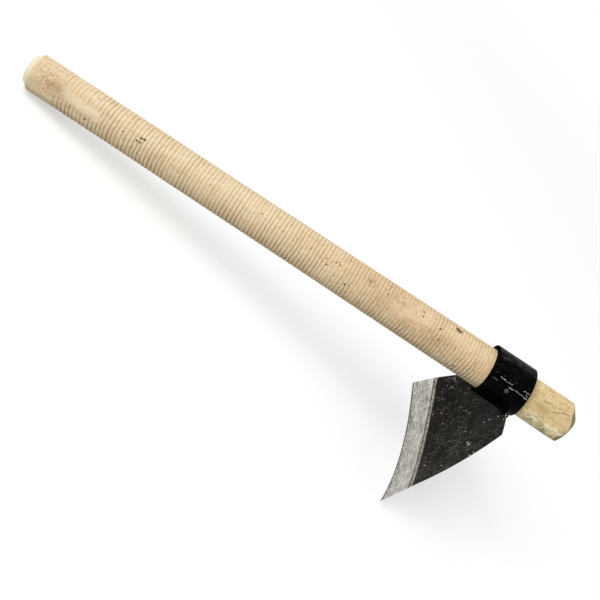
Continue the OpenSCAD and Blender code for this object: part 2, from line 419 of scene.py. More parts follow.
def patchSum(patches, x, direction):
    total = 0
    for place, centre, halfLength, halfWidth, amount in patches:
        aside = ((direction - centre + 180) % 360 - 180) * handleShape["grip"] * pi / 180
        near = ((x - place) / halfLength) ** 2 + (aside / halfWidth) ** 2
        total += amount * exp(-near)
    return min(total, 1)


def hewnEnd():
    # swelling turned about a leaning axis, cut flat on five sides and across the end, square and on a slant
    shape = stubShape
    start, end = eyeHigh.x, handleHigh.x
    length = (end - start) / mm
    inner, past = -shape["insideEye"] - shape["spareInside"], length + shape["sparePast"]
    taper = shape["chamferDepth"] * (1 + shape["sparePast"] / shape["chamferLength"])
    outline = ((inner, 0), (inner, shape["radius"]), (length - shape["chamferLength"], shape["radius"]),
               (past, shape["radius"] - taper), (past, 0))
    bm = bmesh.new()
    turnRound(bm, [(x * mm, r * mm) for x, r in outline], shape["turns"])
    for vert in bm.verts:
        if vert.co.x > length * mm:
            vert.co += around(0, shape["endShift"] * mm, shape["endShiftTowards"])
    turn = radians(shape["leanTowards"])
    lean = Matrix.Rotation(radians(shape["lean"]), 3, Vector((0, -sin(turn), cos(turn))))
    moveAll(bm, lean, (start, 0, 0))
    cuts = [((end, 0, 0), outward) for outward in (
        Vector((1, 0, 0)), leaning(shape["endSlant"], shape["endShiftTowards"]))]
    for direction, depth in shape["flats"]:
        outward = around(0, 1, direction)
        cuts.append((outward * (shape["radius"] - depth) * mm, outward))
    for place, outward in cuts:
        bmesh.ops.edgeloop_fill(bm, edges=cutAway(bm, place, outward))
    bmesh.ops.recalc_face_normals(bm, faces=bm.faces)
    bm = voxelMesh(bm, shape["voxel"] * mm)
    for attempt in range(shape["softening"]):
        bmesh.ops.smooth_vert(
            bm, verts=bm.verts, factor=0.5, use_axis_x=True, use_axis_y=True, use_axis_z=True)
    cutAway(bm, (start - shape["insideEye"] * mm, 0, 0), (-1, 0, 0))
    for vert in bm.verts:
        carveHewnVert(vert, start)
    return bm


def hewnRim(vert):
    # 1 on the chamfer and the end face, which show the grain end on
    return smooth(vert.normal.dot(leaning(stubShape["lean"], stubShape["leanTowards"])), 0.18, 0.36)


def carveHewnVert(vert, start):
    shape = stubShape
    place = vert.co / mm
    across = Vector((0, vert.co.y, vert.co.z))
    if vert.co.x < start:
        most = handleShape["eyeSeat"] * mm
        if across.length > most:
            across *= most / across.length
            vert.co.y, vert.co.z = across.y, across.z
        return
    inside = smooth(vert.co.x - start, 0, 3 * mm)
    broad = ripple((place.x * 0.35, place.y, place.z), 7)
    narrow = ripple((place.x * 0.25, place.y, place.z), 2.5)
    vert.co -= vert.normal * (0.5 + (broad * 0.6 + narrow * 0.4)) * shape["toolMarks"] * mm * inside
    vert.co.x = min(vert.co.x, handleHigh.x)


def shapeHandle():
    shape = handleShape
    bm = bmesh.new()
    turnRound(bm, handleOutline(), shape["turns"])
    names = ("groove", "stain", "hewn", "butt", "endRim", "crack")
    groove, stain, hewn, butt, endRim, crack = newLayers(bm, *names)
    for vert in bm.verts:
        x = vert.co.x / mm
        radius, direction = polar(vert.co)
        # the butt end is painted paler, partly a painted highlight where it faces the light
        vert[butt] = smooth(x, 0.3 - shape["gripHalf"], -0.7 - shape["gripHalf"])
        if x < -shape["gripHalf"] or radius < mm:
            continue
        full = handleRadius(x)
        depth = max(full - radius / mm, 0)
        wander = around(x, 14, direction)
        pale = strokeMark(swath, x, direction, shape["grip"], 4.8, 1.6)
        keep = (1 - patchSum(smoothPatches, x, direction)) * (1 - pale) * (0.95 + 0.4 * ripple(wander, 24))
        keep = min(max(keep, 0), 1.2) if x < handleLength else 0
        relief = 0.06 * ripple((wander.x * 0.3, wander.y, wander.z), 4) + 0.1 * ripple(wander, 40)
        newRadius = (full - depth * keep - 0.12 + relief) * mm if x < handleLength - 1 else full * mm
        vert[groove] = depth * keep / shape["ridgeDepth"]
        shift = 0
        if shape["gripHalf"] < x < handleLength - 3:
            shift = 0.5 * ripple(wander + Vector((50, 0, 0)), 18) + 0.25 * ripple(wander, 3.5)
        vert.co = around((x + shift) * mm, newRadius, direction)
        vert[stain] = patchSum(stains, x, direction)
        vert[butt] = max(vert[butt], 0.25 * pale)
    firstNew = len(bm.verts)
    endMesh = newMesh(hewnEnd(), "end")
    bm.from_mesh(endMesh)
    bpy.data.meshes.remove(endMesh)
    bm.verts.ensure_lookup_table()
    for vert in bm.verts[firstNew:]:
        vert[hewn] = 1
        vert[endRim] = hewnRim(vert)
        place = (vert.co.x - eyeMiddle) / mm
        direction = polar(vert.co)[1] % 360
        vert[crack] = strokeMark(hewnCracks, place, direction, stubShape["radius"], 1, 0.25)
    rims = [edge for edge in bm.edges if edge.is_boundary]
    print("open edges to bridge:", len(rims))
    bmesh.ops.bridge_loops(bm, edges=rims)
    return bm


# Wood material
woodTones = {
    "pale": (255, 234, 197), "deep": (245, 214, 173), "warm": (251, 218, 180), "warmHead": (234, 196, 152),
    "groove": (176, 147, 104), "stain": (186, 148, 106), "smudge": (170, 126, 90), "crumb": (158, 118, 76),
    "speck": (46, 28, 12), "knot": (156, 122, 80), "butt": (255, 246, 222), "underside": (136, 126, 110),
    "hewn": (242, 215, 162), "hewnDeep": (216, 188, 134), "crack": (148, 112, 70), "olive": (164, 152, 110),
    "paintedShadeByEye": (170, 152, 104), "darkGrit": (190, 146, 98), "lightGrit": (255, 232, 188),
    "paleAndRimHighlight": (250, 234, 190), "endGrain": (126, 122, 88), "endRings": (170, 160, 120),
    "endGrit": (190, 178, 136),
}
# Dark specks in the wood: place along the handle, direction, radius
woodSpecks = (
    (86.5, 141.1, 1.05), (84.2, 143.2, 1.05), (81.9, 154.9, 0.95), (273, 170.9, 0.95), (84.6, 155, 0.85),
    (336.9, 111.8, 0.9), (39.5, 188.8, 0.8), (253, 152.1, 0.75), (354.1, 128.7, 0.8), (69.5, 155.5, 0.65),
    (305.6, 127.1, 0.65), (356.9, 154.7, 0.7), (262.4, 133.5, 0.65), (260.5, 127.9, 0.65),
    (262.2, 166.7, 0.65), (41.3, 113.8, 0.6), (250.5, 138.6, 0.65), (191, 132.2, 0.6), (43.4, 115.6, 0.6),
    (304.3, 112.2, 0.6), (304, 100.6, 0.6), (258.6, 132.6, 0.6), (47, 138.9, 0.6), (267, 102.1, 0.55),
    (288.5, 124.3, 0.6), (24.9, 184.7, 0.55), (290.1, 194.9, 0.6), (276, 167, 0.6), (337.6, 124.3, 0.6),
    (81.2, 179, 0.6), (97.9, 125.9, 0.5), (208.2, 137.1, 0.5), (211.8, 141.7, 0.5), (263.7, 112.4, 0.5),
    (276.3, 189.4, 0.55), (255.6, 136.4, 0.5), (18.3, 191.1, 0.5), (236.5, 132.2, 0.5),
    (236.7, 138.4, 0.5), (101.2, 124.3, 0.45), (263, 187.1, 0.5), (331.3, 125.9, 0.45), (41, 185.1, 0.45),
    (366.8, 95, 1.6), (368.2, 100, 1.8), (370, 97, 1.2), (379, 194, 0.8), (120, 260, 0.8),
    (200, 305, 0.9), (290, 340, 0.7), (160, 30, 0.8), (240, 60, 0.6),
)


def woodSpeckMarks(tree, coords):
    drawnOut = 0.7  # the specks are longer along the grain
    inputs = {"Vector": coords, "Scale": 700, "Detail": 4}
    jitter = vectorCalc("SUBTRACT", addNode(tree, "TexNoise", inputs).outputs["Color"], (0.5, 0.5, 0.5))[0]
    moved = addNode(tree, "VectorMath", {0: jitter, "Scale": 2.4 * mm}, operation="SCALE").outputs[0]
    ragged = stretch(vectorCalc("ADD", coords, moved)[0], (drawnOut, 1, 1))
    return pits(ragged, [
        (around(place * mm * drawnOut, (handleRadius(place) - 0.2) * mm, direction), size * 1.2 * mm)
        for place, direction, size in woodSpecks])


def knotLines(coords):
    # figure round the knot: closed rings that stretch along the grain
    place, direction = handleShape["knot"]
    centre = around(place * mm, handleShape["grip"] * mm, direction)
    offset = stretch(vectorCalc("SUBTRACT", coords, centre)[0], (0.55, 1, 1))
    away = vectorCalc("LENGTH", offset)["Value"]
    bentAway = scaled(grainNoise(coords, 160, 2, 0.5), 3 * mm, away)
    rings = scaled(calc("SINE", times(bentAway, 5200)), 0.5, 0.5)
    return times(rings, ramp(away, 9 * mm, 2.5 * mm)), ramp(bentAway, 5.5 * mm, 2 * mm)


def woodMaterial():
    material, tree, shader, coords = newMaterial("turnedWood", Specular_IOR_Level=0.12)
    fibre = grainNoise(stretch(coords, (60, 900, 900)), 1, 6, 0.65)
    streak = grainNoise(stretch(coords, (7, 130, 130)), 1, 4, 0.6)
    cloud = grainNoise(coords, 45, 4, 0.6)
    fine = grainNoise(coords, 900, 3, 0.6)
    grit = grainNoise(coords, 620, 4, 0.75)
    rings = addNode(tree, "TexWave", {
        "Vector": stretch(coords, (0.3, 1, 1), (0, 0.021, 0.034)), "Scale": 60,
        "Distortion": 4, "Detail": 3, "Detail Scale": 5},
        wave_type="RINGS", rings_direction="X").outputs["Fac"]
    parts = addNode(tree, "SeparateXYZ", {"Vector": coords}).outputs
    under = vectorCalc("DOT_PRODUCT", coords, tuple(around(0, 1, 235)))["Value"]
    towardsHead = ramp(parts["X"], 0.24, 0.3)
    marks = woodSpeckMarks(tree, coords)

    # tool marks: cuts darker than the ridges (dirt and painted shade), rubbed unevenly, paler on top (painted
    # shade)
    groove = ramp(scaled(centred(fine), 0.9, painted(tree, "groove")), 0.12, 0.9)
    patchy = ramp(grainNoise(coords, 110, 5, 0.65), 0.3, 0.6, 0.6, 1)
    # painted shade: the groove darkening weakens from the bottom of the handle to the top
    side = ramp(parts["Z"], -handleShape["grip"] * mm, handleShape["grip"] * mm, 1, 0.6)
    # fine mottling all over, a pale cut end that is partly a painted highlight, and a knot
    speckle = grainNoise(stretch(coords, (0.7, 1, 1)), 560, 5, 0.75)
    blotches = grainNoise(stretch(coords, (0.8, 1, 1)), 230, 5, 0.75)
    swirl, core = knotLines(coords)
    turned = layered(
        woodTones, "pale",
        ("deep", ramp(streak, 0.35, 0.7)),
        ("warm", ramp(cloud, 0.48, 0.7, 0, 0.7)),
        ("deep", rings, 0.18),
        ("warmHead", towardsHead, ramp(under, 13 * mm, 3 * mm, 0, 0.4)),
        ("groove", times(groove, patchy), side),
        ("knot", ramp(speckle, 0.44, 0.7, 0, 0.36)),
        ("stain", ramp(blotches, 0.52, 0.7, 0, 0.5), towardsHead),
        # partly painted highlight: the cut end made paler
        ("butt", painted(tree, "butt"), 0.8),
        # painted shade: greyer and darker along the underside of the handle
        ("underside", ramp(under, 12.4 * mm, 15.4 * mm, 0, 0.3)),
        ("knot", swirl, 0.3),
        ("knot", core, 0.3))

    # hewn end: olive streaks along the underside, olive painted shade beside the eye, rough grain above
    chips = grainNoise(stretch(coords, (0.45, 1, 1)), 380, 5, 0.7)
    raised = grainNoise(stretch(coords, (0.5, 1, 1), (0.3, 0, 0)), 300, 4, 0.7)
    uneven = centred(grainNoise(stretch(coords, (0.4, 1, 1)), 260, 5, 0.7))
    scraped = grainNoise(stretch(coords, (0.45, 1, 1), (0, 0.1, 0)), 330, 5, 0.75)
    fromEye = scaled(uneven, 10 * mm, parts["X"])
    above = ramp(under, 2 * mm, -6 * mm)
    endRim = painted(tree, "endRim")
    olive = layered(woodTones, "paleAndRimHighlight", ("olive", ramp(scraped, 0.45, 0.62)))
    endTone = layered(
        woodTones, "endGrain",
        ("endRings", ramp(rings, 0.25, 0.85, 0, 0.4)),
        ("endGrit", ramp(grit, 0.5, 0.66, 0, 0.3)))
    hewn = layered(
        woodTones, "hewn",
        ("hewnDeep", ramp(calc("ADD", streak, centred(cloud)), 0.35, 0.75)),
        ("stain", ramp(chips, 0.5, 0.66, 0, 0.5)),
        ("pale", ramp(raised, 0.56, 0.68, 0, 0.6)),
        (olive, ramp(scaled(uneven, 16 * mm, under), 6.5 * mm, 12.5 * mm, 0, 0.9)),
        # painted shade: olive darkening where the hewn end meets the eye
        ("paintedShadeByEye", ramp(fromEye, eyeHigh.x + 7 * mm, eyeHigh.x + mm, 0, 0.6)),
        ("darkGrit", above, ramp(grit, 0.5, 0.62, 0, 0.55)),
        ("lightGrit", above, ramp(grit, 0.48, 0.38, 0, 0.6)),
        (endTone, ramp(endRim, 0.3, 1, 0, 0.92)),
        # painted highlight: a pale line along the inner border of the end grain
        ("paleAndRimHighlight", times(endRim, calc("SUBTRACT", 1, endRim)), 2.2),
        ("crack", painted(tree, "crack"), 0.75))

    # stains, fibres, pores, crumbs and specks lie over both
    broken = ramp(grainNoise(coords, 480, 5, 0.75), 0.42, 0.6, 0.12, 1)
    pores = useGroup(specks, stretch(coords, (0.5, 1, 1)), Scale=330, Share=0.12, Size=0.2)
    crumbs = useGroup(specks, coords, Scale=430, Share=0.24, Size=0.3)
    base = layered(
        woodTones, turned,
        (hewn, painted(tree, "hewn")),
        ("smudge", painted(tree, "stain"), broken),
        ("stain", ramp(fibre, 0.52, 0.74, 0, 0.32)),
        ("knot", pores, 0.4),
        ("crumb", crumbs, scaled(towardsHead, 0.5, 0.15)),
        ("speck", marks, 0.9))
    height = calc("SUBTRACT", calc("ADD", fibre, fine), times(marks, 2))
    setLook(shader, base, 0.7, height, 0.3 * mm, 0.7)
    return material


makePiece(shapeHandle(), "handleWood", [woodMaterial()], "turned_wood", "handle")
print("wood done")

# Eye: a short cut of pipe under glossy black paint
eyeShape = {
    "wall": 4, "chamfer": 0.6, "around": 400, "rows": 104, "sag": 0.1, "skew": 3.3, "skewTowards": 240,
}
paintTones = {
    "black": (1, 2, 1), "greyed": (13, 14, 11), "scuffAndSheen": (78, 78, 71), "dustAndGlintSpecks": (104, 107, 104),
    "rust": (52, 44, 40), "paintedGlint": (228, 230, 228),
}
# Painted glints, pale broken streaks along the pipe: how strong, then points of (place from the eye's middle,
# direction)
paintedGlintStrands = (
    (0.6, (-15.1, 156), (-12.6, 156), (-10.5, 155.6)),
    (0.5, (-16.3, 141.1), (-14.9, 143.9), (-13.2, 142.1), (-13.9, 136.9), (-15.3, 136.9), (-16.3, 141.1)),
    (0.9, (-9.7, 146.4), (-7.9, 147.7), (-5.6, 147), (-4.2, 149.1), (-1.5, 147.7),
     (-0.1, 148.5), (1.5, 146.2)),
    (0.95, (-0.2, 155.9), (1.7, 156.4), (3, 156), (6.5, 154.3), (8.8, 155.6), (11.7, 155.3), (14, 156.9),
     (16.2, 158.5), (16.2, 154.2), (14.5, 149.4)),
    (0.95, (11.6, 145.4), (13.9, 144.8), (16.3, 145.2)),
    (0.35, (15.4, 162), (14.6, 166.3), (13.5, 169.4), (15.4, 170.8)),
    (0.45, (-6.5, 161.5), (-5.8, 162.3)),
    (0.4, (7.4, 181), (7.8, 182)),
    (0.5, (3, 330), (7, 334), (9, 331)),
    (0.5, (-12, 40), (-7, 44), (-4, 43)),
)


def shapeEye():
    shape = eyeShape
    outer, inner = eyeRadius, eyeRadius - shape["wall"] * mm
    chamfer = shape["chamfer"] * mm
    corner = [(chamfer * (1 - cos(turn)), outer - chamfer * (1 - sin(turn))) for turn in (pi / 6, pi / 3)]
    outline = [(eyeLow.x, inner), (eyeLow.x, outer - chamfer)]
    outline += [(eyeLow.x + inset, r) for inset, r in corner]
    outline += [(blend(eyeLow.x + chamfer, eyeHigh.x - chamfer, row / shape["rows"]), outer)
                for row in range(shape["rows"] + 1)]
    outline += [(eyeHigh.x - inset, r) for inset, r in reversed(corner)]
    outline += [(eyeHigh.x, outer - chamfer), (eyeHigh.x, inner), (eyeMiddle, inner), (eyeLow.x, inner)]
    bm = bmesh.new()
    turnRound(bm, outline, shape["around"])
    rim, glintStrand, nearGlints, end = newLayers(bm, "rim", "glintStrand", "nearGlints", "end")
    for vert in bm.verts:
        radius, direction = polar(vert.co)
        direction %= 360
        x = (vert.co.x - eyeMiddle) / mm
        fromRim = min(vert.co.x - eyeLow.x, eyeHigh.x - vert.co.x) / mm
        vert[end] = smooth(fromRim, shape["chamfer"] + 0.4, shape["chamfer"])
        vert[rim] = max(fromRim, (outer - radius) / mm) if radius > outer - chamfer * 1.5 else 3
        vert.co.x += radius * cos(radians(direction - shape["skewTowards"])) * tan(radians(shape["skew"]))
        if radius < outer - 0.2 * mm:
            continue
        mark = strokeMark(paintedGlintStrands, x, direction, eyeRadius / mm, 0.48, 0.06)
        vert[glintStrand] = mark
        vert[nearGlints] = strokeMark(paintedGlintStrands, x, direction, eyeRadius / mm, 4.5, 0.5)
        place = vert.co / mm
        sag = (0.5 + 0.5 * ripple(place, 6)) * 0.6 + (0.5 + 0.5 * ripple(place, 1.6, 2)) * 0.4
        lift = 0.08 * mark * (0.6 + ripple(place, 1.1, 2))
        newRadius = radius - sag * shape["sag"] * mm + lift * mm
        vert.co = around(vert.co.x, newRadius, direction)
    return bm


def paintMaterial():
    material, tree, shader, coords = newMaterial("blackPaint")
    cloud = useGroup(mottle, coords, Scale=90, Low=0.5, High=0.8)
    dustAndGlintSpecks = useGroup(specks, coords, Scale=560, Share=0.2, Size=0.34)
    rimWear = useGroup(edgeWear, coords, Distance=painted(tree, "rim"), Reach=0.5)
    # grey band and line along the top of the pipe, at these directions: scuffs and a painted reflection
    parts = addNode(tree, "SeparateXYZ", {"Vector": coords}).outputs
    direction = calc("ARCTAN2", parts["Z"], parts["Y"])
    wander = scaled(centred(grainNoise(coords, 130, 3)), 0.5, direction)
    offBand, offLine = [calc("ABSOLUTE", calc("SUBTRACT", wander, radians(angle))) for angle in (99, 86)]
    streaks = grainNoise(stretch(coords, (130, 700, 700)), 1, 5, 0.7)
    band = calc("MAXIMUM", ramp(offBand, 0.16, 0.03), ramp(offLine, 0.1, 0.02, 0, 0.8))
    scuffAndSheen = times(band, ramp(streaks, 0.48, 0.62))
    glintStrand = painted(tree, "glintStrand")
    chips = ramp(scaled(grainNoise(coords, 800, 3, 0.7), 2.2, glintStrand), 1.5, 2.1)
    base = layered(
        paintTones, "black",
        ("greyed", cloud),
        # painted reflection: grey band along the top of the pipe, broken up like scuffs
        ("scuffAndSheen", scuffAndSheen, 0.8),
        # grey specks: dust all over, and painted glints crowding round the glint strands
        ("dustAndGlintSpecks", dustAndGlintSpecks, ramp(painted(tree, "nearGlints"), 0, 0.8, 0.25, 0.8)),
        ("rust", rimWear, 0.4),
        # painted glints: pale broken streaks along the pipe
        ("paintedGlint", chips, glintStrand))
    shine = calc("MAXIMUM", ramp(cloud, 0, 1, 0.24, 0.5), times(scuffAndSheen, 0.6))
    # the end faces don't shine
    feed(shader.inputs["Specular IOR Level"], ramp(painted(tree, "end"), 0, 1, 0.025, 0))
    setLook(shader, base, shine, grainNoise(coords, 420, 5, 0.6), 0.2 * mm, 0.35)
    return material


makePiece(shapeEye(), "pipeEye", [paintMaterial()], "black_paint", "eye_ring")
print("eye done")

# Nail through the side of the eye: point, shank and a low hammered head
nailShape = {"shank": 1.1, "length": 22, "point": 4, "head": 2.1, "sunk": 0.15, "turns": 48, "direction": 165}
nailTones = {"dull": (80, 81, 80), "bright": (98, 99, 97), "rim": (3, 4, 3)}


def shapeNail():
    shape = nailShape
    under = eyeRadius / mm - shape["length"]
    seat = eyeRadius / mm - shape["sunk"]
    outline = [(under, 0), (under, 0.2), (under + shape["point"], shape["shank"]), (seat, shape["shank"]),
               (seat, shape["head"] - 0.15), (seat + 0.2, shape["head"]), (seat + 0.55, shape["head"] - 0.1),
               (seat + 0.8, shape["head"] * 0.7), (seat + 0.95, shape["head"] * 0.35), (seat + 0.95, 0)]
    bm = bmesh.new()
    turnRound(bm, [(x * mm, r * mm) for x, r in outline], shape["turns"])
    rim, = newLayers(bm, "rim")
    for vert in bm.verts:
        vert[rim] = smooth(polar(vert.co)[0] / mm, 1.75, 1.4)
        if vert.co.x / mm - seat > 0.5:
            vert.co.x += 0.06 * mm * ripple(vert.co / mm, 1.2, 2)
    moveAll(bm, Matrix.Rotation(-pi / 2, 3, "Y"))
    moveAll(bm, Matrix.Rotation(radians(shape["direction"] - 90), 3, "X"), (eyeMiddle, 0, 0))
    return bm


def nailMaterial():
    material, tree, shader, coords = newMaterial("nailSteel", Specular_IOR_Level=0.1)
    cloud = useGroup(mottle, coords, Scale=500, Low=0.4, High=0.65)
    head = layered(nailTones, "dull", ("bright", cloud))
    base = layered(nailTones, "rim", (head, painted(tree, "rim")))
    setLook(shader, base, ramp(cloud, 0, 1, 0.6, 0.75), cloud, 0.1 * mm, 0.5)
    return material


makePiece(shapeNail(), "headNail", [nailMaterial()], "nail_steel", "retaining_nail")
print("nail done")

# Blade: a plate hollow both ways, ground on its inner face, iron above and steel at the edge.
# Drops are distances down the plate from the underside of the eye.
bladeShape = {
    "seat": 12.5, "angle": 67, "thickness": 3, "drop": 94, "rise": 7.5, "shoulders": 95, "edge": 164,
    "edgeSwell": 3.3, "sideSwell": 3, "hollowAcross": 12, "hollowAlong": 3, "rounding": 0.3, "sharpFrom": 35,
    "bevel": 25.5, "flare": 3.5, "land": 0.6, "ironShow": 4.8, "dents": 0.16,
    "columns": 150, "plateRows": 74, "bandRows": 6, "steelRows": 26,
}
scaleTones = {
    "black": (10, 10, 7), "dull": (24, 22, 17), "haze": (50, 46, 40), "grain": (96, 92, 84),
    "pore": (5, 5, 4), "light": (126, 122, 113), "bright": (190, 188, 182), "brown": (58, 44, 33),
    "worn": (80, 72, 62), "mark": (226, 226, 221),
}
steelTones = {
    "light": (255, 252, 247), "dark": (212, 207, 199), "stained": (102, 97, 88), "glint": (255, 254, 252),
    "spot": (88, 84, 78), "burr": (84, 82, 78),
}
# Softer iron bared between the black plate and the edge steel
ironTones = dict(
    steelTones, light=(222, 215, 200), dark=(186, 179, 163), stained=(118, 109, 90),
    joint=(84, 77, 64), border=(36, 32, 25))
# Light marks on the plate: place across it, drop and radius
bladeMarks = (
    (-36.5, 25.7, 1.7), (-32.4, 27.5, 1.3), (-57.3, 20.2, 1.3), (-43.9, 64.8, 1), (-11.5, 9.9, 1.1),
    (63.7, 48.2, 0.7), (66.6, 49.2, 0.6), (-54.9, 17.1, 1), (60.3, 56.4, 0.6), (-13.2, 32.6, 0.9),
    (-54.7, 46.4, 0.9), (-11.7, 14.7, 0.9), (-13.4, 1.3, 1.1), (-18.4, -6.8, 1.5), (-16.2, -6.6, 0.9),
    (-22.1, -4.9, 1), (55.5, 54.3, 0.6), (30, 70, 0.8), (12, 58, 0.7),
)
# The same on the weld
weldMarks = ((-2.4, 5.1, 2), (-16, -5.2, 1.6), (9, 4.5, 1.2), (15, -2, 1.1))


def arcRadius(chord, rise):
    return (chord * chord / 4 + rise * rise) / (2 * rise)


def bladeValues():
    # values that follow from the blade's sizes
    shape = dict(bladeShape)
    length = shape["drop"] + shape["rise"]
    corner = shape["edge"] / 2
    shape["corner"] = corner
    shape["low"] = shape["drop"] + shape["edgeSwell"]
    shape["bevelTop"] = shape["low"] - shape["bevel"]
    shape["arch"] = shape["flare"] + shape["edgeSwell"]
    shape["acrossRadius"] = arcRadius(shape["edge"], shape["hollowAcross"])
    shape["alongRadius"] = arcRadius(length, shape["hollowAlong"])
    shape["middle"] = (shape["drop"] - shape["rise"]) / 2
    rate = (shape["thickness"] - shape["land"]) / shape["bevel"]
    shape["bevelRadius"] = 1 / (1 / shape["acrossRadius"] - 2 * shape["arch"] * rate / corner ** 2)
    shape["scarf"] = shape["arch"] / shape["hollowAcross"]
    return shape


blade = bladeValues()
bladeTurn = Matrix.Rotation(radians(90 - blade["angle"]), 3, "Y")
bladeOrigin = Vector((eyeMiddle + blade["seat"] * mm, 0, -eyeRadius))


def hollowAt(drop):
    arc = sqrt(blade["alongRadius"] ** 2 - (drop - blade["middle"]) ** 2)
    return arc - blade["alongRadius"] + blade["hollowAlong"]


def plateFace(y, drop, thickness):
    radius = blade["acrossRadius"] + hollowAt(drop) + thickness
    return sqrt(radius ** 2 - y * y) - blade["acrossRadius"]


def bevelFace(y, drop):
    fall = hollowAt(blade["bevelTop"]) - hollowAt(blade["low"]) - blade["thickness"] + blade["land"]
    radius = blade["bevelRadius"] - fall / blade["bevel"] * (drop - blade["bevelTop"])
    return hollowAt(blade["bevelTop"]) - blade["bevelRadius"] + sqrt(radius ** 2 - y * y)


def halfWidth(drop):
    # side edge at this drop: a straight line from shoulder to corner, bowed out as an arc
    share = (drop + blade["rise"]) / (blade["drop"] + blade["rise"])
    straight = blend(blade["shoulders"] / 2, blade["corner"], share)
    return straight + 4 * blade["sideSwell"] * share * (1 - share)


def topDrop(y, depth):
    # shoulders, or the underside of the eye where the plate is notched round it
    reach = eyeRadius / mm - 0.4
    if abs(y) >= reach:
        return -blade["rise"]
    lean = radians(90 - blade["angle"])
    rest = sqrt(reach ** 2 - y * y) - eyeRadius / mm - (depth + blade["hollowAlong"] * 0.8) * sin(lean)
    return max(-blade["rise"], rest / cos(lean))


def bladeRow(kind, u, depth):
    # drop of one of the blade's lines, at a share across from -1 to 1
    if kind == "edge":
        return blade["low"] - blade["edgeSwell"] * u * u
    across = halfWidth(blade["bevelTop"]) * u
    arch = blade["arch"] * (across / blade["corner"]) ** 2
    if kind == "bevel":
        return blade["bevelTop"] - arch + 0.3 * ripple((across, 0, 0), 8)
    slant = blade["scarf"] * plateFace(across, blade["bevelTop"], depth)
    if kind == "joint":
        return blade["bevelTop"] + blade["ironShow"] + slant - blade["scarf"] * hollowAt(blade["bevelTop"])
    drop = -blade["rise"]
    for attempt in range(4):
        drop = topDrop(u * halfWidth(drop), depth)
    return drop


def placeOnBlade(u, drop, outer):
    y = u * halfWidth(drop)
    if outer:
        x = plateFace(y, drop, blade["thickness"])
    else:
        x = max(plateFace(y, drop, 0), bevelFace(y, drop) if drop > blade["bevelTop"] - 12 else -99)
    return bladeOrigin + bladeTurn @ Vector((x, y, -drop)) * mm


def bladeSheet(lines, counts):
    # grid between lines of the blade, with its inner face first and its outer face extruded from it
    rows = sum(counts)
    columns = blade["columns"]
    bm = bmesh.new()
    bmesh.ops.create_grid(bm, x_segments=columns, y_segments=rows, size=1)
    across, down = newLayers(bm, "across", "down")
    for vert in bm.verts:
        vert[across] = vert.co.x
        vert[down] = (1 - vert.co.y) / 2 * rows
    made = bmesh.ops.extrude_face_region(bm, geom=bm.faces[:])
    outerVerts = {item for item in made["geom"] if isinstance(item, bmesh.types.BMVert)}
    fromEdge, fromBevel, rim, outside = newLayers(bm, "fromEdge", "fromBevel", "rim", "outside")
    for vert in bm.verts:
        outer = vert in outerVerts
        u, row, depth = vert[across], vert[down], blade["thickness"] if outer else 0
        for index, count in enumerate(counts):
            if row <= count + 1e-4 or index == len(counts) - 1:
                break
            row -= count
        first, second = bladeRow(lines[index], u, depth), bladeRow(lines[index + 1], u, depth)
        drop = blend(first, second, min(row / count, 1))
        vert.co = placeOnBlade(u, drop, outer)
        vert[outside] = 1 if outer else 0
        vert[fromEdge] = bladeRow("edge", u, depth) - drop
        vert[fromBevel] = drop - bladeRow("bevel", u, depth)
        vert[rim] = min((1 - abs(u)) * halfWidth(drop), drop - bladeRow("top", u, depth), vert[fromEdge])
    bmesh.ops.recalc_face_normals(bm, faces=bm.faces)
    return bm


def dentPlate(bm):
    # shallow hammer dents that die out at the ground bevel
    bm.normal_update()
    fromBevel = bm.verts.layers.float["fromBevel"]
    rim = bm.verts.layers.float["rim"]
    for vert in bm.verts:
        fade = smooth(vert[fromBevel], 0, -6) * smooth(vert[rim], 0, 4)
        place = vert.co / mm
        depth = 0.5 + 0.5 * ripple(place, 13, 2) + 0.35 * ripple(place, 3.5, 3)
        vert.co -= vert.normal * blade["dents"] * mm * depth * fade


def foldedEdges(bm, angle):
    return [edge for edge in bm.edges
            if len(edge.link_faces) == 2 and edge.calc_face_angle(0) > radians(angle)]


def sharpenEdges(bm):
    for edge in foldedEdges(bm, blade["sharpFrom"]):
        edge.smooth = False


def roundRim(bm):
    # small rounding of the plate's free edges
    rim = bm.verts.layers.float["rim"]
    sharp = [edge for edge in foldedEdges(bm, 50) if all(vert[rim] < 0.2 for vert in edge.verts)]
    bmesh.ops.bevel(bm, geom=sharp, offset=blade["rounding"] * mm, offset_type="OFFSET", segments=2,
                    profile=0.5, affect="EDGES", material=-1, clamp_overlap=True)


def lightMarks(coords, places, lift):
    # on the plate's inner face, or lifted off it
    off = bladeTurn @ Vector((lift * mm, 0, 0))
    return pits(coords, [
        (placeOnBlade(y / halfWidth(drop), drop, False) - off, size * mm) for y, drop, size in places])


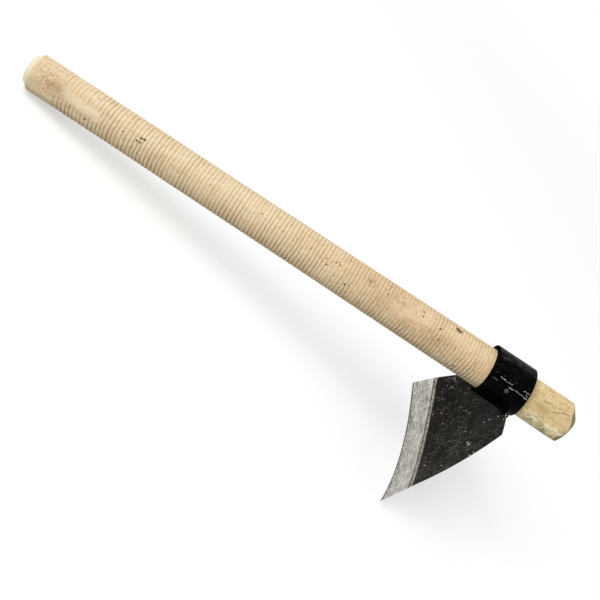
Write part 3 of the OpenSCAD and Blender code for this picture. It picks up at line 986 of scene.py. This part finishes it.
def scaleMaterial():
    material, tree, shader, coords = newMaterial("darkScale", Specular_IOR_Level=0.04)
    cloud = useGroup(mottle, coords, Scale=42, Low=0.35, High=0.7)
    haze = useGroup(mottle, coords, Scale=24, Fine=8, Low=0.4, High=0.7)
    grain = grainNoise(stretch(coords, (1, 0.75, 1)), 560, 3, 0.7)
    fine = ramp(grain, 0.5, 0.6)
    clump = ramp(grainNoise(stretch(coords, (1, 0.7, 1), (0.2, 0, 0)), 75, 4, 0.7), 0.42, 0.6)
    light = useGroup(specks, coords, Scale=400, Share=0.13, Size=0.42)
    bright = useGroup(specks, coords, Scale=170, Share=0.05, Size=0.2)
    # browner beside the ground bevel
    brown = times(ramp(painted(tree, "fromBevel"), -9, 0), cloud)
    worn = useGroup(edgeWear, coords, Distance=painted(tree, "rim"), Reach=0.5)
    base = layered(
        scaleTones, "black",
        ("dull", cloud),
        ("haze", haze, 0.4),
        ("grain", fine, scaled(clump, 0.85, 0.08)),
        ("pore", ramp(grain, 0.45, 0.36, 0, 0.7)),
        ("light", light, scaled(clump, 0.6, 0.2)),
        ("bright", bright, 0.8),
        ("brown", brown, 0.5),
        ("worn", worn, 0.25),
        ("mark", lightMarks(coords, bladeMarks, 0)))
    height = calc("ADD", grainNoise(coords, 350, 6, 0.65), fine)
    setLook(shader, base, ramp(cloud, 0, 1, 0.5, 0.68), height, 0.25 * mm, 0.5)
    return material


def steelMaterial(name, tones):
    material, tree, shader = newMaterial(name, Metallic=0.6, Specular_IOR_Level=0.3)[:3]
    fromEdge = painted(tree, "fromEdge")
    # streaks follow the edge: the noise is drawn out along the blade's width
    along = addNode(tree, "CombineXYZ", {0: painted(tree, "across"), 1: times(fromEdge, 0.02)}).outputs[0]
    patches = grainNoise(stretch(along, (4, 5, 1), (7, 0, 0)), 1, 3, 0.6)
    lines = grainNoise(stretch(along, (3.4, 40, 1)), 1, 5, 0.7)
    smear = grainNoise(stretch(along, (7, 9, 1)), 1, 6, 0.75)
    flecks = grainNoise(stretch(along, (22, 30, 1)), 1, 5, 0.8)
    glints = grainNoise(stretch(along, (20, 34, 1), (3, 5, 0)), 1, 4, 0.75)
    # dark spots near the edge and a dark line along it
    spots = times(ramp(fromEdge, 9, 1), ramp(flecks, 0.48, 0.58))
    burr = ramp(scaled(smear, 0.8, fromEdge), 1.9, 1.3)
    base = layered(
        tones, "light",
        ("dark", ramp(smear, 0.38, 0.62)),
        ("dark", ramp(patches, 0.4, 0.62, 0, 0.6)),
        ("stained", ramp(lines, 0.53, 0.63, 0, 0.95)),
        ("stained", ramp(flecks, 0.52, 0.64), ramp(patches, 0.46, 0.6, 0.2, 1)),
        ("glint", ramp(glints, 0.52, 0.64, 0, 0.85)),
        ("spot", spots, 0.7),
        ("burr", burr, 0.85))
    if "joint" in tones:
        # frayed joint with the steel, and black paint that runs raggedly over the border
        frayed = scaled(centred(flecks), 7, painted(tree, "fromBevel"))
        joint = ramp(frayed, blade["ironShow"] - 1.9, blade["ironShow"] - 0.9)
        base = layered(
            tones, base,
            ("joint", joint, ramp(flecks, 0.35, 0.6, 0.55, 0.95)),
            ("border", ramp(frayed, 1.5, 0.7)))
    setLook(shader, base, ramp(smear, 0.3, 0.7, 0.4, 0.58), calc("ADD", lines, flecks), 0.1 * mm, 0.4)
    return material


def shapeIron():
    bm = bladeSheet(("top", "bevel", "joint"), (blade["plateRows"], blade["bandRows"]))
    dentPlate(bm)
    down = bm.verts.layers.float["down"]
    outside = bm.verts.layers.float["outside"]
    for face in bm.faces:
        # the inner face below the bevel's upper line is bared
        inner = all(vert[outside] < 0.5 for vert in face.verts)
        if inner and min(vert[down] for vert in face.verts) > blade["plateRows"] - 0.5:
            face.material_index = 1
    roundRim(bm)
    sharpenEdges(bm)
    return bm


def shapeSteel():
    bm = bladeSheet(("joint", "edge"), (blade["steelRows"],))
    outside = bm.verts.layers.float["outside"]
    for face in bm.faces:
        if all(vert[outside] > 0.5 for vert in face.verts):
            face.material_index = 1
    sharpenEdges(bm)
    return bm


darkScale = scaleMaterial()
groundSteel = steelMaterial("groundSteel", steelTones)
groundIron = steelMaterial("groundIron", ironTones)
makePiece(shapeIron(), "bladeIron", [darkScale, groundIron], "dark_scale", "blade_body")
makePiece(shapeSteel(), "edgeSteel", [groundSteel, darkScale], "ground_steel", "edge_steel")
print("blade done")

# Weld beads between the eye and both faces of the plate
weldShape = {"inner": 3, "outer": 2.4, "rise": 0.35, "short": 3, "lumps": 0.35, "around": 20, "steps": 90}
weldTones = {
    "black": (8, 8, 6), "dull": (36, 34, 30), "light": (104, 104, 98), "bright": (206, 206, 200),
    "mark": (214, 214, 209),
}


def shapeWeld(radius, depth):
    # bead in the corner between the eye and the plate's face at this depth
    shape = weldShape
    lean = radians(blade["angle"])
    pipe = eyeRadius / mm
    reach = degrees(acos(1 - blade["rise"] * sin(lean) / pipe))
    half = reach - degrees(atan(shape["inner"] / pipe)) - shape["short"]
    side = -1 if depth == 0 else 1
    bm = bmesh.new()
    bmesh.ops.create_circle(bm, segments=shape["around"], radius=radius * mm, cap_ends=True)
    moveAll(bm, Matrix.Rotation(pi / 2, 3, "X"), (0, 0, -eyeRadius))
    moveAll(bm, Matrix.Rotation(radians(-half), 3, "X"))
    bmesh.ops.spin(bm, geom=everythingIn(bm), cent=(0, 0, 0), axis=(1, 0, 0),
                   angle=radians(2 * half), steps=shape["steps"], use_duplicate=False)
    bmesh.ops.remove_doubles(bm, verts=bm.verts, dist=1e-7)
    for vert in bm.verts:
        angle = atan2(vert.co.y, -vert.co.z)
        up = pipe * (1 - cos(angle))
        seam = (plateFace(pipe * sin(angle), -up, depth) + up * cos(lean)) / sin(lean)
        onPipe = Vector((0, eyeRadius * sin(angle), -eyeRadius * cos(angle)))
        centre = onPipe + Vector((eyeMiddle + (blade["seat"] + seam) * mm, 0, 0))
        out = Vector((0, sin(angle), -cos(angle)))
        away = Vector((side * sin(lean), 0, -side * cos(lean)))
        centre += (out + away) * shape["rise"] * radius * mm
        offset = vert.co - onPipe
        taper = smooth(abs(degrees(angle)), half, half * 0.7) * 0.75 + 0.25
        lumps = ripple(centre / mm + offset / mm * 0.8, 2.6, 4)
        waves = 0.5 + 0.5 * cos(degrees(angle) * 9)
        swell = 1 - 0.1 * waves + shape["lumps"] * (lumps - 0.3)
        vert.co = centre + offset * taper * min(swell, 1.04)
    return bm


def weldMaterial():
    material, _, shader, coords = newMaterial("paintedWeld", Specular_IOR_Level=0.1)
    cloud = useGroup(mottle, coords, Scale=240, Low=0.4, High=0.7)
    light = useGroup(specks, coords, Scale=520, Share=0.14, Size=0.32)
    bright = useGroup(specks, coords, Scale=260, Share=0.1, Size=0.2)
    base = layered(
        weldTones, "black",
        ("dull", cloud),
        ("light", light, 0.5),
        # painted glints: bright specks on the bead's lumps
        ("bright", bright, 0.9),
        ("mark", lightMarks(coords, weldMarks, 1.8)))
    height = grainNoise(coords, 700, 5, 0.65)
    setLook(shader, base, ramp(cloud, 0, 1, 0.3, 0.55), height, 0.3 * mm, 0.6)
    return material


paintedWeld = weldMaterial()
inner = shapeWeld(weldShape["inner"], 0)
makePiece(inner, "weldInside", [paintedWeld], "painted_weld", "weld_bead_inner")
outer = shapeWeld(weldShape["outer"], blade["thickness"])
makePiece(outer, "weldOutside", [paintedWeld], "painted_weld", "weld_bead_outer")
print("welds done")


# Stage: a pale floor on which the hoe stands on its cutting edge and its butt. Sizes in metres
stage = {
    "half": 6, "tone": (0.62, 0.62, 0.62, 1), "lift": 0.48, "white": (1, 1, 1, 1),
    "middle": (0.25, 0, -0.1), "fadeFrom": 0.8, "fadeTo": 2, "surround": (0.51, 0.54, 0.535, 1),
}
lamp = {"size": 3.2, "power": 101, "place": Vector((-1, -1.5, 3.72)), "aim": Vector((0.25, 0, 0))}


def restingPlane():
    # lowest edge vertex, and the slope from it to the handle's lowest point at the butt
    steelVerts = [vert.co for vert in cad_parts["edge_steel"].data.vertices]
    handleVerts = [vert.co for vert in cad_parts["handle"].data.vertices]
    slope = 0
    for attempt in range(3):
        normal = Vector((sin(slope), 0, cos(slope)))
        edge = min(steelVerts, key=lambda place: place.dot(normal))
        slope = min(atan2(place.z - edge.z, edge.x - place.x)
                    for place in handleVerts if place.x < edge.x - 0.05)
    return edge, slope


def floorMaterial():
    material, tree, shader, coords = newMaterial(
        "paleFloor", Base_Color=stage["tone"], Roughness=0.9, Specular_IOR_Level=0)
    seen = seenDirectly(tree)
    strength = times(seen, stage["lift"])
    lifted = addNode(tree, "Emission", {"Color": stage["white"], "Strength": strength}).outputs[0]
    both = addNode(tree, "AddShader", {0: shader.outputs[0], 1: lifted}).outputs[0]
    # far off it fades into the white surround
    away = vectorCalc("DISTANCE", coords, stage["middle"])["Value"]
    far = times(ramp(away, stage["fadeFrom"], stage["fadeTo"]), seen)
    white = addNode(tree, "Emission", {"Color": stage["white"], "Strength": 1}).outputs[0]
    faded = addNode(tree, "MixShader", {0: far, 1: both, 2: white}).outputs[0]
    # seen from below, the floor is clear
    below = addNode(tree, "NewGeometry").outputs["Backfacing"]
    clear = addNode(tree, "BsdfTransparent").outputs[0]
    shown = addNode(tree, "MixShader", {0: below, 1: faded, 2: clear}).outputs[0]
    feed(tree.nodes["Material Output"].inputs["Surface"], shown)
    return material


edge, slope = restingPlane()
bm = bmesh.new()
bmesh.ops.create_grid(bm, x_segments=1, y_segments=1, size=stage["half"])
moveAll(bm, Matrix.Rotation(slope, 3, "Y"), (edge.x, 0, edge.z))
floor = newObject("floor", newMesh(bm, "floor"))
floor.data.materials.append(floorMaterial())
print("floor slopes", round(degrees(slope), 2), "degrees")

light = newObject("key", bpy.data.lights.new("key", "AREA"))
light.data.size = lamp["size"]
light.data.energy = lamp["power"]
light.location = lamp["place"]
light.rotation_euler = (lamp["aim"] - lamp["place"]).to_track_quat("-Z", "Y").to_euler()

world = bpy.data.worlds.new("studio")
bpy.context.scene.world = world
world.use_nodes = True
surround = mixColours(seenDirectly(world.node_tree), stage["surround"], stage["white"])
feed(world.node_tree.nodes["Background"].inputs["Color"], surround)
print("lights set")
